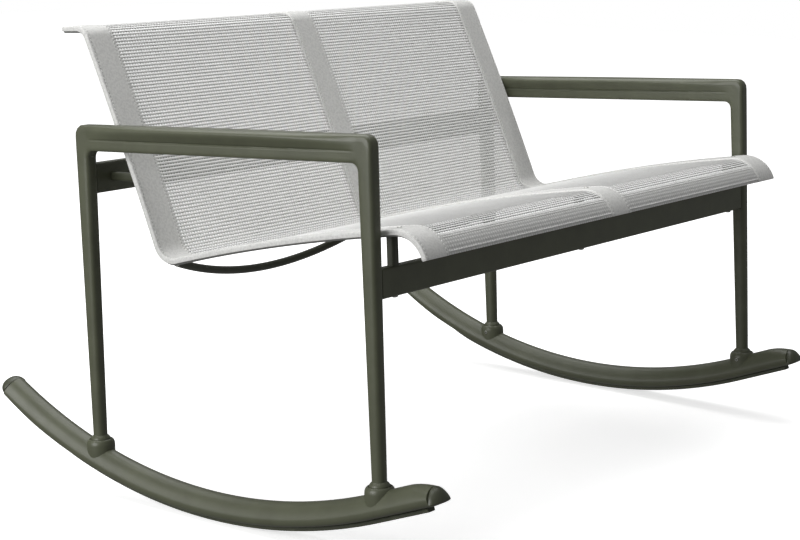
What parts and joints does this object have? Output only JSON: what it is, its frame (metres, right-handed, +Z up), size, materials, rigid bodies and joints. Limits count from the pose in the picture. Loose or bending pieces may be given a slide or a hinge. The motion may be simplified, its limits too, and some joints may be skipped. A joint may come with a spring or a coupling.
{
  "type": "rocking settee",
  "caption": "Outdoor rocking settee: painted tubular frame on curved runners, with stretched mesh seat and back panels held by strapped rails.",
  "frame": {"origin": "on the floor, under the middle of the settee's outline as it rests", "axes": "+X across the seat, -Y is the way the seat faces, +Z up; the frame is rolled back to its resting angle"},
  "size_m": [1.148, 0.8884, 0.7366],
  "materials": {
    "olive_paint": "satin",
    "olive_paint_dark": "satin",
    "vinyl_strap": "satin",
    "mesh_fabric": "matte",
    "rail_metal": "satin",
    "glide_nylon": "matte",
    "fastener_steel": "satin"
  },
  "bodies": {
    "root": {"armrest_left": "olive_paint", "armrest_right": "olive_paint", "bowed_spreader_left": "olive_paint_dark", "bowed_spreader_right": "olive_paint_dark", "bracket_bolt_left": "fastener_steel", "bracket_bolt_middle": "fastener_steel", "bracket_bolt_right": "fastener_steel", "front_beam": "olive_paint", "front_leg_left": "olive_paint", "front_leg_right": "olive_paint", "front_post_left": "olive_paint_dark", "front_post_middle": "olive_paint_dark", "front_post_right": "olive_paint_dark", "glide_strip_left": "glide_nylon", "glide_strip_right": "glide_nylon", "leg_collar_front_left": "olive_paint", "leg_collar_front_right": "olive_paint", "leg_collar_rear_left": "olive_paint", "leg_collar_rear_right": "olive_paint", "leg_socket_front_left": "olive_paint", "leg_socket_front_right": "olive_paint", "leg_socket_rear_left": "olive_paint", "leg_socket_rear_right": "olive_paint", "mesh_panel_left": "mesh_fabric", "mesh_panel_right": "mesh_fabric", "post_bolt_left": "fastener_steel", "post_bolt_middle": "fastener_steel", "post_bolt_right": "fastener_steel", "rear_beam": "olive_paint", "rear_bracket_left": "olive_paint_dark", "rear_bracket_middle": "olive_paint_dark", "rear_bracket_right": "olive_paint_dark", "rear_leg_left": "olive_paint", "rear_leg_right": "olive_paint", "runner_cap_front_left": "olive_paint_dark", "runner_cap_front_right": "olive_paint_dark", "runner_cap_rear_left": "olive_paint_dark", "runner_cap_rear_right": "olive_paint_dark", "runner_left": "olive_paint", "runner_right": "olive_paint", "seat_rail_left": "rail_metal", "seat_rail_middle": "rail_metal", "seat_rail_right": "rail_metal", "set_screw_front_left": "fastener_steel", "set_screw_front_right": "fastener_steel", "set_screw_rear_left": "fastener_steel", "set_screw_rear_right": "fastener_steel", "strap_left": "vinyl_strap", "strap_middle": "vinyl_strap", "strap_right": "vinyl_strap", "strap_rivet_left": "fastener_steel", "strap_rivet_middle": "fastener_steel", "strap_rivet_right": "fastener_steel"}
  },
  "joints": []
}
